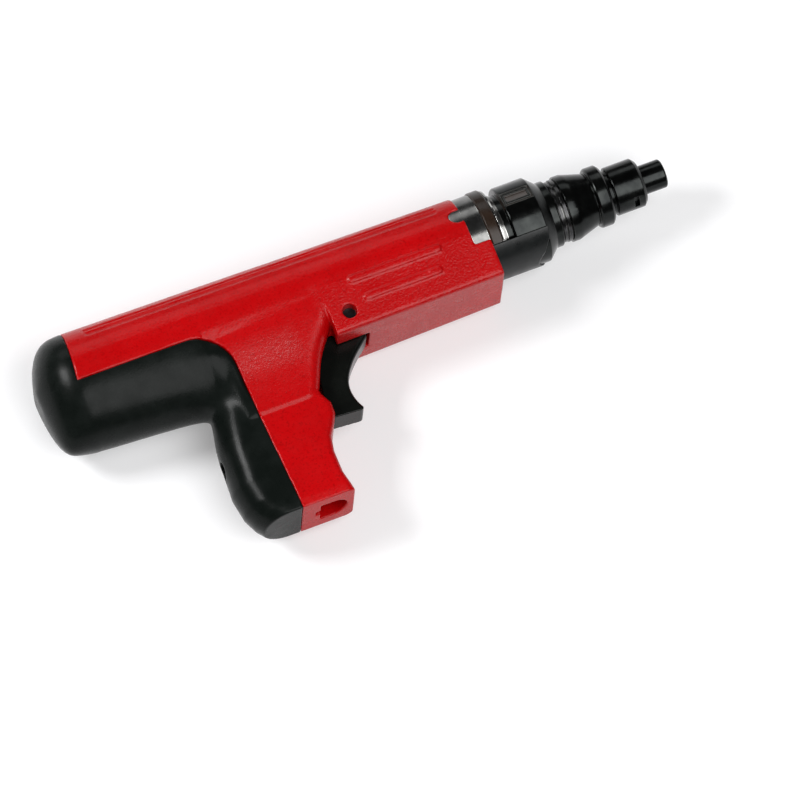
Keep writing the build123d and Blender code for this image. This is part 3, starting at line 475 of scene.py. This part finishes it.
def soften(piece, spots):
    """Rounds the creases near each spot, most of all in its middle half."""
    for centre, radii, rounds in spots:
        group = piece.vertex_groups.new(name="soft")
        for vertex in piece.data.vertices:
            offset = [(at - middle) / radius for at, middle, radius in zip(vertex.co, centre, radii)]
            reach = 1.0 - sum(part * part for part in offset)
            if reach > 0.0:
                group.add([vertex.index], min(1.0, 2.0 * reach), "REPLACE")
        smooth(piece, rounds, group.name)
        piece.vertex_groups.clear()


def vertex_vectors(mesh, kind):
    """The positions ("co") or normals ("normal") of the mesh's vertices, one row each."""
    values = np.empty(3 * len(mesh.vertices))
    mesh.vertices.foreach_get(kind, values)
    return values.reshape(-1, 3)


def smooth_face(east, north, height, rim):
    """The height, at every place, of the cubic face that fits the heights of the rim best."""
    terms = np.stack([east ** i * north ** j for i in range(4) for j in range(4 - i)], axis=1)
    fit = np.linalg.lstsq(terms[rim], height[rim], rcond=None)[0]
    return terms @ fit


def hollow_share(reach):
    """1 in the middle of a hollow and 0 outside it, with a smooth step between."""
    share = np.clip((HOLLOW_END - reach) / HOLLOW_STEP, 0.0, 1.0)
    return share * share * (3.0 - 2.0 * share)


def fill_hollow(piece, centre, radii):
    """Raises the outer side of the piece round centre to the smooth face that its surroundings lie on."""
    mesh = piece.data
    points = vertex_vectors(mesh, "co")
    side = math.copysign(1.0, centre.z - AXIS_IN_FRAME.z)
    facing = side * vertex_vectors(mesh, "normal")[:, 2]
    height = side * (points[:, 2] - AXIS_IN_FRAME.z)
    east = (points[:, 0] - centre.x) / radii[0]
    north = (points[:, 1] - centre.y) / radii[1]
    reach = np.hypot(east, north)
    outer = (facing > -HOLLOW_FACING) & (height > HOLLOW_LEAST_HEIGHT)
    rim = outer & (facing > HOLLOW_FACING) & (reach > 1.0) & (reach < HOLLOW_RIM)
    face = smooth_face(east, north, height, rim)
    lift = np.clip(face - height, 0.0, HOLLOW_MOST_LIFT) * hollow_share(reach)
    points[outer, 2] += side * lift[outer]
    mesh.vertices.foreach_set("co", points.ravel())
    mesh.update()


def cast_skin(node, voxel, rounds):
    """The node with the soft edges of a casting or moulding."""
    piece = copy_of(node)
    even = piece.modifiers.new("even", "REMESH")
    even.mode = "VOXEL"
    even.voxel_size = voxel
    smooth(piece, rounds)
    for centre, radii in HOLLOWS.get(node, ()):
        fill_hollow(piece, centre, radii)
    soften(piece, SOFT_SPOTS.get(node, ()))
    triangles = 2 * len(piece.data.polygons)
    if triangles > MAX_TRIANGLES:
        thin = piece.modifiers.new("thin", "DECIMATE")
        thin.ratio = MAX_TRIANGLES / triangles
        settle(piece)
    return piece


def machined(node, edge):
    """The node with small chamfers on its sharp edges, so that they catch the light."""
    piece = copy_of(node)
    bevel = piece.modifiers.new("edges", "BEVEL")
    bevel.width = edge
    bevel.segments = 2
    bevel.limit_method = "ANGLE"
    bevel.angle_limit = SHARP_ANGLE
    settle(piece)
    piece.modifiers.new("flat_faces", "WEIGHTED_NORMAL")
    return piece


def make_pieces(materials):
    """Every CAD node with its material, and the visible ones with finer edges."""
    for node, (voxel, rounds) in CAST.items():
        stand_for(cast_skin(node, voxel, rounds), node, material_for(node, materials))
    for node, edge in MACHINED.items():
        stand_for(machined(node, edge), node, material_for(node, materials))
    for node, piece in frame["nodes"].items():
        piece.data.materials.clear()
        piece.data.materials.append(material_for(node, materials))


# ---------------------------------------------------------------- studio
def make_floor():
    """A plain pale floor under the tool."""
    mesh = bpy.data.meshes.new("floor")
    corners = [(x, y, 0.0) for x, y in ((-1, -1), (1, -1), (1, 1), (-1, 1))]
    mesh.from_pydata([(FLOOR_HALF * x, FLOOR_HALF * y, z) for x, y, z in corners], [], [(0, 1, 2, 3)])
    floor = bpy.data.objects.new("floor", mesh)
    bpy.context.scene.collection.objects.link(floor)
    shader = Shader("pale_floor")
    shader.color(shader.blend(shader.noise(3.0), (0.64, 0.64, 0.65), (0.68, 0.68, 0.69)))
    shader.set(Roughness=0.6, Emission_Color=(1.0, 1.0, 1.0, 1.0), Emission_Strength=0.30)
    mesh.materials.append(shader.material)


def soft_light(name, direction, distance, size, power):
    """A rectangular soft box that faces the tool from the given direction."""
    light = bpy.data.lights.new(name, "AREA")
    light.shape = "RECTANGLE"
    light.size, light.size_y = size
    light.energy = power
    lamp = bpy.data.objects.new(name, light)
    lamp.location = direction.normalized() * distance
    lamp.rotation_euler = direction.to_track_quat("Z", "Y").to_euler()
    lamp.visible_camera = False
    bpy.context.scene.collection.objects.link(lamp)


def make_studio():
    """Floor, soft boxes and a dim surround."""
    make_floor()
    for name, settings in SOFT_BOXES.items():
        soft_light(name, *settings)
    world = bpy.data.worlds.new("surround")
    bpy.context.scene.world = world
    world.use_nodes = True
    background = world.node_tree.nodes["Background"]
    background.inputs["Color"].default_value = (1.0, 1.0, 1.0, 1.0)
    background.inputs["Strength"].default_value = WORLD_STRENGTH
    bpy.context.scene.view_settings.view_transform = "Standard"


def make_camera():
    """A long lens from above and in front, at the photograph's angle."""
    data = bpy.data.cameras.new("camera")
    camera = bpy.data.objects.new("camera", data)
    bpy.context.scene.collection.objects.link(camera)
    up = CAMERA_BACK.cross(CAMERA_RIGHT)
    axes = Matrix((CAMERA_RIGHT, up, CAMERA_BACK)).transposed()
    camera.matrix_world = Matrix.Translation(CAMERA_AIM + CAMERA_DISTANCE * CAMERA_BACK) @ axes.to_4x4()
    data.sensor_width = SENSOR_WIDTH
    data.lens = SENSOR_WIDTH * CAMERA_DISTANCE / VIEW_WIDTH
    data.clip_end = 4 * CAMERA_DISTANCE
    bpy.context.scene.camera = camera


make_pieces(make_materials())
make_studio()
make_camera()

bpy.context.view_layer.update()
